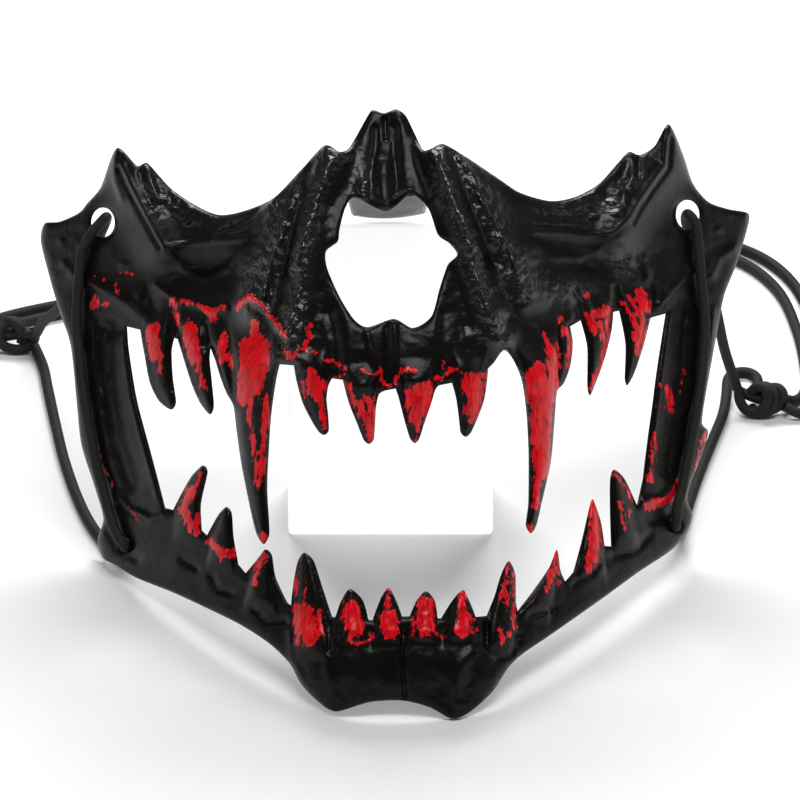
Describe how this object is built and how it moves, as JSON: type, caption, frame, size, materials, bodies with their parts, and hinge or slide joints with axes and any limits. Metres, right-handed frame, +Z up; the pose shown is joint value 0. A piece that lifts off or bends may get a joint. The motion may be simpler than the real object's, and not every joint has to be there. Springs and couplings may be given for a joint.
{
  "type": "fanged half mask on a display block",
  "caption": "Black moulded skull half mask with red-brushed fangs and an elastic head strap, leaning on a plain white display block.",
  "frame": {"origin": "on the surface that the mask and its block stand on, under the middle of their box", "axes": "+Z up, +X to the viewer's right when facing the mask, -Y out of the front of the mask towards the viewer"},
  "size_m": [0.2493, 0.2694, 0.1413],
  "materials": {
    "mask": "satin to gloss black moulded plastic, teeth and gum line dry-brushed with glossy red enamel",
    "block": "polished white acrylic",
    "strap": "black fabric-covered elastic, finely ribbed"
  },
  "bodies": {
    "root": {"mask": "mask", "display_block": "block", "side_cord_left": "strap", "side_cord_right": "strap", "back_cord_a": "strap", "back_cord_b": "strap", "knot_left": "strap", "knot_right": "strap"}
  },
  "joints": []
}
